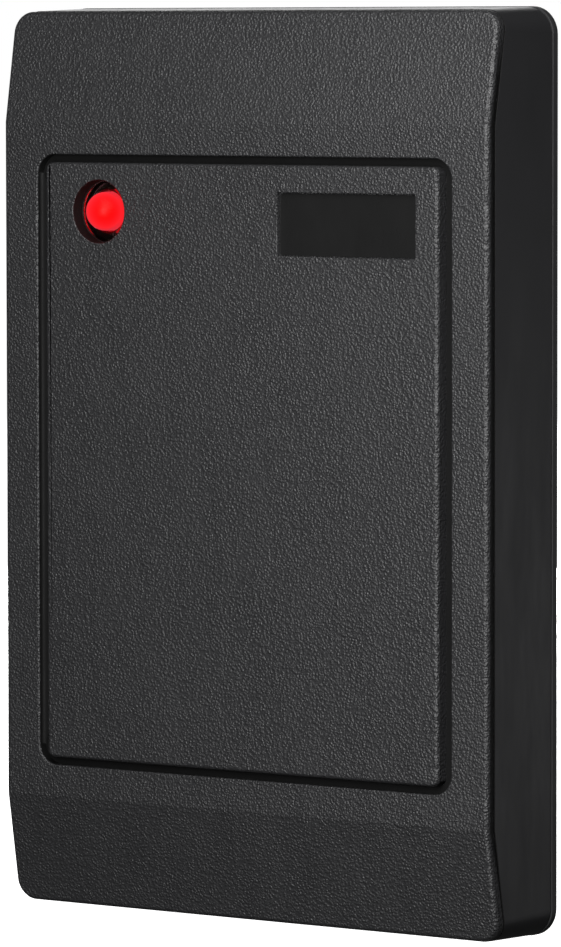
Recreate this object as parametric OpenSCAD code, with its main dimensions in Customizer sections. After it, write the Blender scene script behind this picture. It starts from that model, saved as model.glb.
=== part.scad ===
// Wall-mounted proximity card reader.
// Frame: X to the right, Y into the wall, Z up. The origin is the centre of the wall face,
// so the wall is the plane y = 0 and the reader stands in front of it, at negative y.
// Depths below are distances in front of the wall: a depth d lies at y = -d.

/* [Body] */
// Width of the reader at the wall
body_w = 75; // [70:1:90]
// Height of the reader at the wall
body_h = 115; // [112:1:130]
// Depth from the wall to the flat front
body_d = 14.8; // [14.8:0.2:17]
// Corner radius of the outline at the wall
corner_r = 3.5; // [3:0.5:6]
// Draft of the four side walls, in degrees
wall_draft = 2; // [1:0.2:3]
// Height of each sloping band, at the top and at the bottom
slope_h = 14.5; // [12:0.5:16]
// Angle by which the sloping bands fall back, in degrees
slope_angle = 10; // [6:1:12]

/* [Front] */
// Width of the raised face panel
panel_w = 60; // [56:0.2:60.2]
// Height of the raised face panel
panel_h = 75.9; // [72:0.1:76]
// How far the panel stands proud of the flat front
panel_proud = 0.5; // [0.2:0.1:0.8]
// Width of the groove at the panel's sides
groove_w = 1.6; // [1:0.1:1.6]
// Width of the groove at the panel's top and bottom
groove_end_w = 1; // [0.8:0.1:1.2]
// Diameter of the window round the status light
led_window_dia = 8; // [7:0.5:9]
// Diameter of the status light
led_dia = 4.9; // [4.6:0.1:5]
// Width of the blank label pocket
label_w = 20.6; // [16:0.2:21]
// Height of the blank label pocket
label_h = 7.9; // [6:0.1:8]

/* [Wall plate] */
// Distance between the two wall screws
wall_screw_spacing = 60; // [56:1:64]
// Width of the wall screw slots
wall_slot_w = 4.2; // [3.6:0.1:4.6]
// Length of the wall screw slots, end to end
wall_slot_len = 8; // [6:0.5:9]
// Diameter of the cable opening in the wall plate
cable_opening_dia = 20; // [16:1:22]

/* [Inside] */
// Width of the circuit board
board_w = 60; // [58:1:60]
// Height of the circuit board
board_h = 84; // [80:1:84]
// Bore of the cable grommet
cable_bore_dia = 5.2; // [4.2:0.2:5.6]
// Outward travel of the tamper plunger
plunger_travel = 1.5; // [1:0.1:1.5]

/* [Hidden] */
$fn = 64;
eps = 0.01;       // overshoot of a cut past the face it opens
over = 40;        // any length that runs past the whole body

// Depths, as distances in front of the wall
plate_t = 1.0;                              // visible edge of the wall plate
plateau_d = 2.4;                            // front of the plate's raised middle
housing_rear_d = plate_t + 0.15;            // the parting line
rear_cover_d = 3.2;
rear_cover_t = 1.4;
gasket_t = 0.8;
ledge_d = rear_cover_d + rear_cover_t + gasket_t;
ledge_t = 1.2;
board_d = 8.0;
board_t = 1.2;
board_front_d = board_d + board_t;
cover_t = 2.2;                              // thickness of the front cover
cover_back_d = body_d - cover_t;
cover_edge_t = 1.4;                         // its thickness at the rim
reveal = 0.2;                               // shadow gap between front cover and housing
recess_d = body_d - 1.4;                    // floor of the groove and of the panel's recess
panel_front_d = body_d + panel_proud;

// Outline
cavity_w = body_w - 4.6;
cavity_h = body_h - 4.6;
cavity_r = 2;
crease_z = body_h / 2 - slope_h;
front_corner_r = 2.6;
panel_r = 1.0;
groove_r = panel_r + groove_w;
cover_inset = 0.06;                         // the front cover sits this far inside the housing's sides

// Chambers: ribs close the electronics off from the hooks above and the latch below
rib_z = 49.6;
rib_t = 1.2;
lid_gap = 0.3;
lid_w = cavity_w - 2 * lid_gap;
lid_h = 2 * rib_z - 2 * lid_gap;
ledge_w = 1.7;
boss_x = 30.2;
boss_z = 44.9;
boss_dia = 5.6;

// Places on the board and the front, as [x, z]
led_at = [-21.55, 31.8];
label_at = [16.35, 30.6];
peg_at = [[-18, -28], [18, -28], [-18, 18], [18, 18]];
peg_dia = 3;
post_x = 26.5;
post_z = 38.5;
post_dia = 5;
tamper_at = [20, 16];
header_at = [0, 15];
pin_pitch = 1.25;
pin_count = 8;
lead_pitch = 2.54;

// Status light
led_centre_d = panel_front_d - 1.5;         // centre of the dome
led_flange_d = board_front_d + 0.25;
lens_front_d = panel_front_d - 2.0;

// Latch at the bottom
screw_d = 5.9;                              // depth of the security screw's axis
screw_dia = 2.9;
screw_head_dia = 5.6;
screw_head_t = 1.2;
fork_t = 1.4;
fork_z = -52.7;                             // top of the fork
fork_reach = 7.6;
fork_w = 10;
fork_slot = 3.4;
nut_w = 5.5;
nut_t = 1.5;
nut_z = fork_z + 0.3;
latch_boss_top = fork_z - fork_t - 0.3;
head_z = -half_h(screw_d) + 0.05;           // underside of the head's recess opening
head_top_z = head_z + screw_head_t;
seal_t = 0.5;
seal_dia = 5;
bore_end_z = nut_z + nut_t + 0.15;         // blind end of the security screw's bore

// Hooks at the top
hook_x = 20;
hook_w = 8;
hook_z = 52.6;
hook_t = 1.2;
hook_top = 54.9;
hook_tip_d = 4.7;
hook_tip_t = 1.0;

// Outline half sizes at a depth, and the depth of the front at a height
function half_w(d) = body_w / 2 - d * tan(wall_draft);
function half_h(d) = body_h / 2 - d * tan(wall_draft);
function front_d(z) = body_d - max(0, abs(z) - crease_z) * tan(slope_angle);

// Turns a flat shape to face the front and gives it a thickness, from depth d forwards
module slab(d, t) translate([0, -d, 0]) rotate([90, 0, 0]) linear_extrude(t) children();

// Extrudes a shape drawn as (depth, height) along X, and one drawn as (x, depth) along Z
module along_x(w) rotate([90, 0, -90]) linear_extrude(w, center = true) children();
module along_z(h) rotate([180, 0, 0]) linear_extrude(h, center = true) children();

// Places children at a spot on the front, at a depth
module at(p, d = 0) translate([p[0], -d, p[1]]) children();

// A round bar or a block along Y, from a depth forwards
module bar(p, d, dia, t) at(p, d) rotate([90, 0, 0]) cylinder(d = dia, h = t);
module block(p, d, w, h, t) at(p, d) translate([-w / 2, -t, -h / 2]) cube([w, t, h]);

module round_rect(w, h, r) {
    square([w - 2 * r, h], center = true);
    square([w, h - 2 * r], center = true);
    for (x = [-1, 1], z = [-1, 1]) translate([x * (w / 2 - r), z * (h / 2 - r)]) circle(r);
}

module ring(w, h, r, wall) {
    difference() {
        round_rect(w, h, r);
        round_rect(w - 2 * wall, h - 2 * wall, max(r - wall, 0.3));
    }
}

// Four symmetric places
module corners(x, z) for (sx = [-1, 1], sz = [-1, 1]) at([sx * x, sz * z]) children();

// Side view of a layer that follows the front, between two distances behind it
module front_layer(behind_front, behind_back) {
    end_z = body_h / 2;
    polygon([[front_d(end_z) - behind_back, -end_z], [body_d - behind_back, -crease_z],
             [body_d - behind_back, crease_z], [front_d(end_z) - behind_back, end_z],
             [front_d(end_z) - behind_front, end_z], [body_d - behind_front, crease_z],
             [body_d - behind_front, -crease_z], [front_d(end_z) - behind_front, -end_z]]);
}

// Everything inside the drafted sides, shrunk by an inset
module drafted(inset = 0) {
    intersection() {
        along_x(2 * over) polygon([[0, -half_h(0) + inset], [0, half_h(0) - inset],
                                   [over, half_h(over) - inset], [over, -half_h(over) + inset]]);
        along_z(4 * over) polygon([[-half_w(0) + inset, 0], [half_w(0) - inset, 0],
                                   [half_w(over) - inset, over], [-half_w(over) + inset, over]]);
    }
}

module wall_plate() {
    color([0.07, 0.07, 0.075]) difference() {
        union() {
            slab(0, plate_t) round_rect(body_w, body_h, corner_r);
            slab(plate_t - eps, plateau_d - plate_t + eps) round_rect(body_w - 8, body_h - 7, cavity_r);
            // hooks: an arm that stands out and a tip that turns up
            for (s = [-1, 1]) {
                block([s * hook_x, hook_z + hook_t / 2], plateau_d - eps, hook_w, hook_t,
                      hook_tip_d + hook_tip_t - plateau_d + eps);
                block([s * hook_x, (hook_z + hook_top) / 2], hook_tip_d, hook_w, hook_top - hook_z, hook_tip_t);
            }
            // fork that takes the security screw
            block([0, fork_z - fork_t / 2], plateau_d - eps, fork_w, fork_t, fork_reach - plateau_d + eps);
        }
        block([0, fork_z - fork_t / 2], screw_d - fork_slot / 2, fork_slot, 2 * fork_t, fork_reach);
        bar([0, 0], -eps, cable_opening_dia, plateau_d + 2 * eps);
        bar(tamper_at, -eps, 5, plateau_d + 2 * eps);
        for (s = [-1, 1]) {
            slot_run = wall_slot_len - wall_slot_w;
            at([0, s * wall_screw_spacing / 2]) {
                wall_slot(-eps, wall_slot_w, slot_run, plateau_d);
                wall_slot(plate_t, 9, slot_run + 1, plateau_d);
            }
        }
    }
}

// A slot along Z with round ends
module wall_slot(d, w, run, t) {
    for (s = [-1, 1]) bar([0, s * run / 2], d, w, t);
    block([0, 0], d, w, run, t);
}

module housing() {
    color([0.06, 0.06, 0.065]) {
        difference() {
            union() {
                difference() {
                    intersection() {
                        slab(housing_rear_d, over) round_rect(body_w, body_h, corner_r);
                        drafted();
                        housing_side_view();
                    }
                    slab(0, over) round_rect(cavity_w, cavity_h, cavity_r);
                }
                housing_inside();
            }
            // security screw's recess and bore, and the nut's pocket, which opens towards the wall
            latch_bore(screw_head_dia + 0.6, head_top_z);
            latch_bore(seal_dia + 0.1, head_top_z + seal_t);
            latch_bore(3.4, bore_end_z);
            block([0, nut_z + nut_t / 2], 0, nut_w + 0.2, nut_t + 0.1, screw_d + nut_w / 2 + 0.1);
            for (x = [-1, 1], z = [-1, 1]) bar([x * boss_x, z * boss_z], 0, 1.8, 10);
        }
    }
}

// Round hole on the security screw's axis, from below the reader up to a height
module latch_bore(dia, top_z) translate([0, -screw_d, -2 * over]) cylinder(d = dia, h = 2 * over + top_z);

// Side view of the housing: its front rim follows the front cover
module housing_side_view() {
    rim = cover_edge_t + reveal;
    end_z = body_h / 2;
    along_x(2 * over) polygon([[0, -end_z], [front_d(end_z) - rim, -end_z], [body_d - rim, -crease_z],
                               [body_d - rim, crease_z], [front_d(end_z) - rim, end_z], [0, end_z]]);
}

module housing_inside() {
    // ribs across the top and the bottom
    for (s = [-1, 1]) block([0, s * (rib_z + rib_t / 2)], rear_cover_d, cavity_w + 1, rib_t, 11 - rear_cover_d);
    // ledge for the gasket, with bosses for the cover screws
    slab(ledge_d, ledge_t) ring(cavity_w + 0.4, 2 * rib_z + 0.4, 1, ledge_w + 0.2);
    corners(boss_x, boss_z) rotate([90, 0, 0]) translate([0, 0, rear_cover_d + rear_cover_t])
        cylinder(d = boss_dia, h = 11 - rear_cover_d - rear_cover_t);
    corners(boss_x + 2.6, boss_z) translate([-1.3, -ledge_d - ledge_t, -0.6]) cube([4, ledge_t, 1.2]);
    // ledge behind the hooks' tips
    for (s = [-1, 1]) block([s * hook_x, 54.6], plateau_d + 0.4, hook_w + 4, 1.4, 1.0);
    // nut holder, and the boss that the security screw's head pulls on
    block([0, (nut_z - rib_z) / 2], 2.9, 9, -rib_z - nut_z, 6.6);
    intersection() {
        drafted();
        block([0, (latch_boss_top - body_h / 2) / 2], 2.6, 9, body_h / 2 + latch_boss_top, 6.6);
    }
}

module front_cover() {
    color([0.1, 0.1, 0.1]) difference() {
        union() {
            intersection() {
                slab(0, over) round_rect(body_w - 2 * front_inset(), body_h - 2 * front_inset(), front_corner_r);
                drafted(cover_inset);
                along_x(2 * over) front_layer(0, cover_edge_t);
            }
            intersection() {
                slab(0, over) round_rect(cavity_w - 0.2, cavity_h - 0.2, cavity_r);
                along_x(2 * over) front_layer(cover_edge_t - eps, cover_t);
            }
            corners(post_x, post_z) rotate([90, 0, 0]) translate([0, 0, board_front_d])
                cylinder(d = post_dia, h = cover_back_d - board_front_d + eps);
        }
        slab(recess_d, over) round_rect(panel_w + 2 * groove_w, panel_h + 2 * groove_end_w, groove_r);
        bar(led_at, 0, led_window_dia - 0.1, over);
        for (p = peg_at) bar(p, 0, peg_dia + 0.2, over);
        corners(post_x, post_z) rotate([90, 0, 0]) cylinder(d = 1.8, h = cover_back_d);
    }
}

// The front cover's outline is a straight one a little inside the drafted sides
function front_inset() = body_w / 2 - half_w(body_d - 3);

module face_panel() {
    color([0.11, 0.11, 0.11]) difference() {
        union() {
            slab(recess_d, panel_front_d - recess_d) round_rect(panel_w, panel_h, panel_r);
            for (p = peg_at) bar(p, cover_back_d - 0.6, peg_dia, recess_d - cover_back_d + 0.6 + eps);
        }
        bar(led_at, 0, led_window_dia, over);
        block(label_at, panel_front_d - 0.65, label_w, label_h, 1);
    }
}

module blank_badge() {
    color([0.05, 0.05, 0.055]) block(label_at, panel_front_d - 0.65, label_w - 0.2, label_h - 0.2, 0.15);
}

module led_lens() {
    color([0.85, 0.85, 0.88, 0.5]) difference() {
        union() {
            bar(led_at, cover_back_d, led_window_dia - 0.2, lens_front_d - cover_back_d);
            bar(led_at, cover_back_d - 0.8, led_window_dia + 1.4, 0.8);
        }
        bar(led_at, 0, led_dia + 0.2, over);
    }
}

module status_led() {
    color([0.9, 0.05, 0.03]) {
        bar(led_at, led_flange_d, 5.8, 1);
        bar(led_at, led_flange_d, led_dia, led_centre_d - led_flange_d);
        intersection() {
            at(led_at, led_centre_d) sphere(d = led_dia);
            bar(led_at, led_centre_d - 1, 2 * led_dia, over);
        }
    }
}

module led_leads() {
    color([0.75, 0.75, 0.75]) for (s = [-1, 1])
        block([led_at[0] + s * lead_pitch / 2, led_at[1]], board_d - 1, 0.5, 0.5, led_flange_d - board_d + 1);
}

module circuit_board() {
    color([0.05, 0.3, 0.15]) difference() {
        slab(board_d, board_t) round_rect(board_w, board_h, 1.5);
        corners(post_x, post_z) rotate([90, 0, 0]) cylinder(d = 2.4, h = over);
        for (s = [-1, 1]) bar([led_at[0] + s * lead_pitch / 2, led_at[1]], 0, 0.9, over);
        for (i = [0:pin_count - 1]) bar([header_x(i), header_at[1] + 1.2], 0, 0.8, over);
    }
}
function header_x(i) = header_at[0] + (i - (pin_count - 1) / 2) * pin_pitch;

// Flat rectangular coil, wound on a flanged frame behind the front cover
coil_w = 56;
coil_h = 62;
coil_z = -5;
coil_t = 1.7;
coil_bar = 3;
module coil_former() {
    color([0.85, 0.85, 0.8]) translate([0, 0, coil_z]) {
        slab(cover_back_d - 0.3, 0.3) ring(coil_w, coil_h, 3, coil_bar);
        slab(cover_back_d - coil_t, coil_t) ring(coil_w - 2 * coil_bar + 0.8, coil_h - 2 * coil_bar + 0.8, 2, 0.8);
    }
}

module antenna_coil() {
    color([0.7, 0.35, 0.15]) translate([0, 0, coil_z])
        slab(cover_back_d - coil_t, coil_t - 0.32) ring(coil_w - 0.4, coil_h - 0.4, 2.8, coil_bar - 0.65);
}

module rear_cover() {
    color([0.08, 0.08, 0.085]) difference() {
        slab(rear_cover_d, rear_cover_t) round_rect(lid_w, lid_h, 1);
        bar([0, 0], 0, cable_bore_dia + 4.4, over);
        bar(tamper_at, 0, 3, over);
        corners(boss_x, boss_z) rotate([90, 0, 0]) {
            cylinder(d = 2.4, h = over);
            cylinder(d = 4.4, h = rear_cover_d + 0.7);
        }
    }
}

module cover_gasket() {
    color([0.15, 0.15, 0.16])
        slab(rear_cover_d + rear_cover_t, gasket_t) ring(lid_w, lid_h, 1, ledge_w - lid_gap);
}

module cover_screws() {
    color([0.6, 0.6, 0.62]) for (x = [-1, 1], z = [-1, 1])
        pan_screw([x * boss_x, z * boss_z], rear_cover_d + 0.1, 4.2, 0.6, 1.8, 6);
}

module board_screws() {
    color([0.6, 0.6, 0.62]) for (x = [-1, 1], z = [-1, 1])
        pan_screw([x * post_x, z * post_z], board_d - 1.2, 4, 1.2, 1.8, 4);
}

// A screw along Y with a cross recess in its head, driven towards the front
module pan_screw(p, d, head_dia, head_t, dia, len) {
    difference() {
        union() {
            bar(p, d, head_dia, head_t);
            bar(p, d + head_t - eps, dia, len);
        }
        block(p, d - eps, head_dia * 0.6, 0.5, head_t * 0.6);
        block(p, d - eps, 0.5, head_dia * 0.6, head_t * 0.6);
    }
}

module cable_grommet() {
    groove_dia = cable_bore_dia + 4.2;
    color([0.12, 0.12, 0.12]) difference() {
        union() {
            bar([0, 0], rear_cover_d - 0.5, groove_dia, 3.2);
            bar([0, 0], rear_cover_d - 0.6, groove_dia + 2.4, 0.6);
            bar([0, 0], rear_cover_d + rear_cover_t, groove_dia + 2.4, 1);
        }
        bar([0, 0], 0, cable_bore_dia, over);
    }
}

module cable_header() {
    w = pin_count * pin_pitch + 2.4;
    color([0.9, 0.88, 0.8]) difference() {
        block(header_at, board_d - 2.9, w, 5, 2.9);
        block([header_at[0], header_at[1] - 1], board_d - 2.4, w - 1, 4, 1.9);
        for (i = [0:pin_count - 1]) block([header_x(i), header_at[1] + 1.2], 0, 0.56, 0.56, over);
    }
}

module header_pins() {
    color([0.8, 0.75, 0.5]) for (i = [0:pin_count - 1]) {
        block([header_x(i), header_at[1]], board_d - 1.7, 0.5, 3, 0.5);
        block([header_x(i), header_at[1] + 1.2], board_d - 1.7, 0.5, 0.5, 1.7 + board_t + 0.5);
    }
}

// Flat-sided chip body with a chamfered pin-one mark
module chip(p, w, h, t) {
    difference() {
        block(p, board_front_d + 0.1, w, h, t - 0.1);
        bar([p[0] - w / 2 + 0.9, p[1] + h / 2 - 0.9], board_front_d + t - 0.15, 0.6, 1);
    }
}

// Two rows of bent pins along the top and the bottom of a chip
module pin_rows(p, h, count, pitch, out = 1) {
    for (s = [-1, 1], i = [0:count - 1]) {
        x = p[0] + (i - (count - 1) / 2) * pitch;
        block([x, p[1] + s * (h / 2 + out / 2)], board_front_d, pitch * 0.35, out, 0.2);
        block([x, p[1] + s * (h / 2 + 0.15)], board_front_d, pitch * 0.35, 0.3, 0.7);
    }
}

controller_at = [0, -8];
amplifier_at = [-14, 4];
module controller_chip() { color([0.05, 0.05, 0.05]) chip(controller_at, 12.8, 7.5, 2.2); }
module controller_pins() { color([0.7, 0.7, 0.72]) pin_rows(controller_at, 7.5, 10, 1.27); }
module amplifier_chip() { color([0.05, 0.05, 0.05]) chip(amplifier_at, 4.9, 3.9, 1.5); }
module amplifier_pins() { color([0.7, 0.7, 0.72]) pin_rows(amplifier_at, 3.9, 4, 1.27); }

module crystal() {
    color([0.75, 0.75, 0.77]) {
        at([12, 4], board_front_d) rotate([90, 0, 0]) linear_extrude(0.5) round_rect(11, 4.6, 2.2);
        at([12, 4], board_front_d) rotate([90, 0, 0]) linear_extrude(3.2) round_rect(10.2, 3.8, 1.85);
    }
}

module voltage_regulator() {
    p = [-15, -24];
    color([0.12, 0.12, 0.12]) {
        block(p, board_front_d, 6.5, 3.5, 1.7);
        block([p[0], p[1] + 2.6], board_front_d, 3, 1.8, 0.3);
        for (i = [-1:1]) block([p[0] + i * 2.3, p[1] - 2.5], board_front_d, 0.7, 1.6, 0.3);
    }
}

module power_capacitors() {
    color([0.6, 0.6, 0.65]) for (p = [[-4, -25], [-12, -13]]) {
        block(p, board_front_d, 5.3, 5.3, 0.6);
        bar(p, board_front_d, 5, 3.2);
    }
}

capacitor_at = [for (i = [0:3]) [-8 + i * 3.2, 10], for (i = [0:2]) [-18, -4 + i * 3]];
resistor_at = [for (i = [0:4]) [-9 + i * 3.2, 1], for (i = [0:3]) [18.5, -16 + i * 3.2]];
module chip_capacitors() { color([0.65, 0.5, 0.35]) for (p = capacitor_at) block(p, board_front_d, 2, 1.25, 0.9); }
module chip_resistors() { color([0.1, 0.1, 0.12]) for (p = resistor_at) block(p, board_front_d, 2, 1.25, 0.5); }

module buzzer() {
    p = [11, -22];
    color([0.08, 0.08, 0.08]) difference() {
        block(p, board_front_d, 8.5, 8.5, 3);
        bar(p, board_front_d + 2.2, 2.2, 2);
    }
}

module protection_diodes() {
    color([0.1, 0.1, 0.1]) for (i = [0:1]) {
        block([-11 + 8 * i, 31], board_front_d, 4.3, 2.6, 2);
        block([-11 + 8 * i, 31], board_front_d, 5.2, 1.4, 0.3);
    }
}

module driver_transistors() {
    color([0.08, 0.08, 0.08]) for (i = [0:2]) {
        p = [4 + 5 * i, 25];
        block(p, board_front_d, 2.9, 1.3, 1);
        block([p[0], p[1] + 0.9], board_front_d, 0.4, 0.8, 0.2);
        for (s = [-1, 1]) block([p[0] + s * 0.95, p[1] - 0.9], board_front_d, 0.4, 0.8, 0.2);
    }
}

module captive_nut() {
    color([0.7, 0.65, 0.4]) difference() {
        block([0, nut_z + nut_t / 2], screw_d - nut_w / 2, nut_w, nut_t, nut_w);
        translate([0, -screw_d, nut_z - 1]) cylinder(d = screw_dia + 0.15, h = nut_t + 2);
    }
}

module screw_seal() {
    color([0.1, 0.1, 0.1]) translate([0, -screw_d, head_top_z]) difference() {
        cylinder(d = seal_dia, h = seal_t);
        translate([0, 0, -eps]) cylinder(d = screw_dia + 0.2, h = seal_t + 2 * eps);
    }
}

module security_screw() {
    shank = nut_z + nut_t - head_top_z;
    color([0.65, 0.65, 0.67]) translate([0, -screw_d, head_z]) difference() {
        union() {
            cylinder(d = screw_head_dia, h = screw_head_t - 0.02);
            cylinder(d = screw_dia, h = screw_head_t + shank);
        }
        translate([0, 0, -eps]) cylinder(d = 2, h = 0.8, $fn = 6);
    }
}

module tamper_switch() {
    color([0.1, 0.1, 0.1]) {
        block(tamper_at, board_d - 0.8, 4, 4, 0.8);
        bar(tamper_at, board_d - 1, 2, 0.3);
    }
}

// Short coil spring between the board and the plunger's flange
spring_turns = 2;
spring_wire = 0.3;
spring_r = 3.3;
spring_sides = 6;
spring_steps = 20;
function spring_point(i, j) =
    let (a = 360 * i / spring_steps, b = 360 * j / spring_sides, r = spring_r + spring_wire / 2 * cos(b),
         run = 1.1 - spring_wire - 0.04)
    [r * cos(a), r * sin(a), run * i / (spring_turns * spring_steps) + spring_wire / 2 * sin(b)];
module tamper_spring() {
    rings = spring_turns * spring_steps;
    points = [for (i = [0:rings], j = [0:spring_sides - 1]) spring_point(i, j)];
    sides = [for (i = [0:rings - 1], j = [0:spring_sides - 1])
        let (k = (j + 1) % spring_sides, a = i * spring_sides, b = a + spring_sides)
        [a + j, b + j, b + k, a + k]];
    ends = [[for (j = [0:spring_sides - 1]) j], [for (j = [spring_sides - 1:-1:0]) rings * spring_sides + j]];
    color([0.75, 0.75, 0.78]) at(tamper_at, board_d - 0.02 - spring_wire / 2) rotate([-90, 0, 0])
        polyhedron(points, concat(sides, ends));
}

module tamper_plunger() {
    flange_t = 0.7;
    flange_d = rear_cover_d + rear_cover_t + plunger_travel + 0.1;
    color([0.9, 0.9, 0.88]) {
        bar(tamper_at, 0.05, 2.4, flange_d - 0.05 + eps);
        bar(tamper_at, flange_d, 7.4, flange_t);
    }
}

wall_plate();
housing();
front_cover();
face_panel();
blank_badge();
led_lens();
status_led();
led_leads();
circuit_board();
coil_former();
antenna_coil();
rear_cover();
cover_gasket();
cover_screws();
board_screws();
cable_grommet();
cable_header();
header_pins();
controller_chip();
controller_pins();
amplifier_chip();
amplifier_pins();
crystal();
voltage_regulator();
power_capacitors();
chip_capacitors();
chip_resistors();
buzzer();
protection_diodes();
driver_transistors();
captive_nut();
screw_seal();
security_screw();
tamper_switch();
tamper_spring();
tamper_plunger();
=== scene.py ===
"""Wall-mounted card reader: its visible pieces, their finishes and a small studio.

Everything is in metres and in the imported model's own frame: X to the right, Y into the wall, Z up.
A depth is a distance in front of the wall, so a depth d lies at y = -d.
"""

import logging
import math
from contextlib import contextmanager
from dataclasses import dataclass, field
from enum import Enum
from itertools import product
from typing import Any, Callable, Iterator, Sequence

import bpy
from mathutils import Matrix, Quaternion, Vector


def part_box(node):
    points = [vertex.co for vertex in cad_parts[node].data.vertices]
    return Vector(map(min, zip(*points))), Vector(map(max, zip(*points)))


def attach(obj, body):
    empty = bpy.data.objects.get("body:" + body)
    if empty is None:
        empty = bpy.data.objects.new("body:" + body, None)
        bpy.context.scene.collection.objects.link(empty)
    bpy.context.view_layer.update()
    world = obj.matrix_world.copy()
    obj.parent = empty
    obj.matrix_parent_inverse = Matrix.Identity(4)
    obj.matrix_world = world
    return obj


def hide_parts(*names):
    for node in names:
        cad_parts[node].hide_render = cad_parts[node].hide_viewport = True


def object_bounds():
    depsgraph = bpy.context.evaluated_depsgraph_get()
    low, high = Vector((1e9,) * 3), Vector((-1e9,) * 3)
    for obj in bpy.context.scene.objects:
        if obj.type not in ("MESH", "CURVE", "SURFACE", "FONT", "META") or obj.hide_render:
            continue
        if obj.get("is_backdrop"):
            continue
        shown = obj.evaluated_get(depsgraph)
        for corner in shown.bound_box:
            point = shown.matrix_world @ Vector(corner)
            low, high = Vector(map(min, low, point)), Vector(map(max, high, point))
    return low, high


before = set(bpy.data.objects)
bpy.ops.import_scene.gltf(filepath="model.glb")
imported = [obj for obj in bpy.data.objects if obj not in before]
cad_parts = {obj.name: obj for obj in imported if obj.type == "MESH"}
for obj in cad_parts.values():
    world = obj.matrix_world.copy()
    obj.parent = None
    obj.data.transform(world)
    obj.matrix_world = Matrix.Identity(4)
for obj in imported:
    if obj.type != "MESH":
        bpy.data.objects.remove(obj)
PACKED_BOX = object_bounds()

log = logging.getLogger("card_reader")

MM = 0.001
QUARTER = math.pi / 2
TOUCH = 0.004 * MM  # two places closer than this are the same place
MERGE = TOUCH / 4  # corners closer than this become one
FLAT_ANGLE = math.radians(0.3)  # facets that meet at less than this lie in one plane
FLAT_WEIGHT = 80  # how strongly large faces hold their own direction
CENTRE = (0.3, 0.7)  # where most of a random pattern's values lie
WHITE = (1, 1, 1, 1)
Piece = bpy.types.Object
Colour = tuple[float, float, float]
Test = Callable[..., bool]
Point = tuple[float, float]  # radius and depth
Profile = Sequence[Point]
Node = bpy.types.Node
Socket = str | int


# ---------------------------------------------------------------- bench tools


class Element(Enum):
    """What a selection is made of."""

    CORNER = "VERT"
    EDGE = "EDGE"
    FACE = "FACE"


def activate(piece: Piece) -> None:
    """Makes a piece the only selected object, and the active one.

    Args:
        piece: The object to work on.
    """
    bpy.ops.object.select_all(action="DESELECT")
    piece.select_set(True)
    bpy.context.view_layer.objects.active = piece


@contextmanager
def editing(piece: Piece, element: Element = Element.EDGE) -> Iterator[None]:
    """Opens a piece in edit mode, and closes it again.

    Args:
        piece: The object to edit.
        element: What the selection in edit mode is made of.
    """
    activate(piece)
    bpy.context.tool_settings.mesh_select_mode = tuple(each is element for each in Element)
    bpy.ops.object.mode_set(mode="EDIT")
    try:
        yield
    finally:
        bpy.ops.object.mode_set(mode="OBJECT")


def mark(piece: Piece, element: Element, test: Test, only_marked: bool = False) -> None:
    """Marks the parts of a mesh that pass a test as selected, and the rest as not.

    Args:
        piece: The object whose mesh is marked.
        element: What is tested: a corner's place, an edge's two ends, or a face's centre and normal.
        test: Says whether a corner, an edge or a face is wanted.
        only_marked: Whether an edge has to be marked already.
    """
    mesh = piece.data
    spots = [corner.co for corner in mesh.vertices]
    kept = [
        (only_marked is False or edge.select) and test(*(spots[i] for i in edge.vertices))
        if element is Element.EDGE
        else False
        for edge in mesh.edges
    ]
    for part in (*mesh.vertices, *mesh.edges, *mesh.polygons):
        part.select = False
    if element is Element.CORNER:
        for corner in mesh.vertices:
            corner.select = test(corner.co)
    for edge, keep in zip(mesh.edges, kept):
        edge.select = keep
        for index in edge.vertices if keep else ():
            mesh.vertices[index].select = True
    for face in mesh.polygons if element is Element.FACE else ():
        face.select = test(face.center, face.normal)


@contextmanager
def picked(piece: Piece, element: Element, test: Test) -> Iterator[None]:
    """Opens a piece in edit mode with the parts selected that pass a test.

    Args:
        piece: The object to edit.
        element: What is selected.
        test: Says whether a corner, an edge or a face is wanted.
    """
    mark(piece, element, test)
    with editing(piece, element):
        yield


def roll(width: float, steps: int) -> None:
    """Rounds the selected edges of the piece that is open in edit mode."""
    bpy.ops.mesh.bevel(offset=width, segments=steps, profile=0.5, affect="EDGES", clamp_overlap=False)


def round_edges(piece: Piece, test: Test, width: float, steps: int = 3, least: float = 30) -> None:
    """Rounds the sharp edges that pass a test.

    Args:
        piece: The object to work on.
        test: Says from its two ends whether an edge is wanted.
        width: How far back from the edge the rounding starts.
        steps: Number of facets across the rounding.
        least: The least angle between an edge's faces, in degrees, for it to count as sharp.
    """
    with editing(piece):
        bpy.ops.mesh.select_all(action="DESELECT")
        bpy.ops.mesh.edges_select_sharp(sharpness=math.radians(least))
    mark(piece, Element.EDGE, test, only_marked=True)
    with editing(piece):
        roll(width, steps)


def settle(piece: Piece) -> Piece:
    """Moves a piece's place, turn and scale into its mesh.

    Args:
        piece: The object to settle.

    Returns:
        The same object, now at the origin.
    """
    activate(piece)
    bpy.ops.object.transform_apply(location=True, rotation=True, scale=True)
    return piece


def block(name: str, low: Vector, high: Vector, corner: float = 0.0, steps: int = 8) -> Piece:
    """A block between two corners, with its four edges along Y rounded.

    Args:
        name: The object's name.
        low: The lowest corner.
        high: The highest corner.
        corner: Radius of the rounded edges, or 0 to leave them square.
        steps: Number of facets in each rounded edge.

    Returns:
        The new object.
    """
    bpy.ops.object.select_all(action="DESELECT")
    bpy.ops.mesh.primitive_cube_add(size=1, location=(low + high) / 2)
    piece = bpy.context.object
    piece.name = name
    piece.scale = high - low
    settle(piece)
    if corner:
        with picked(piece, Element.EDGE, lambda a, b: abs(a.y - b.y) > TOUCH):
            roll(corner, steps)
    return piece


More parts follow.
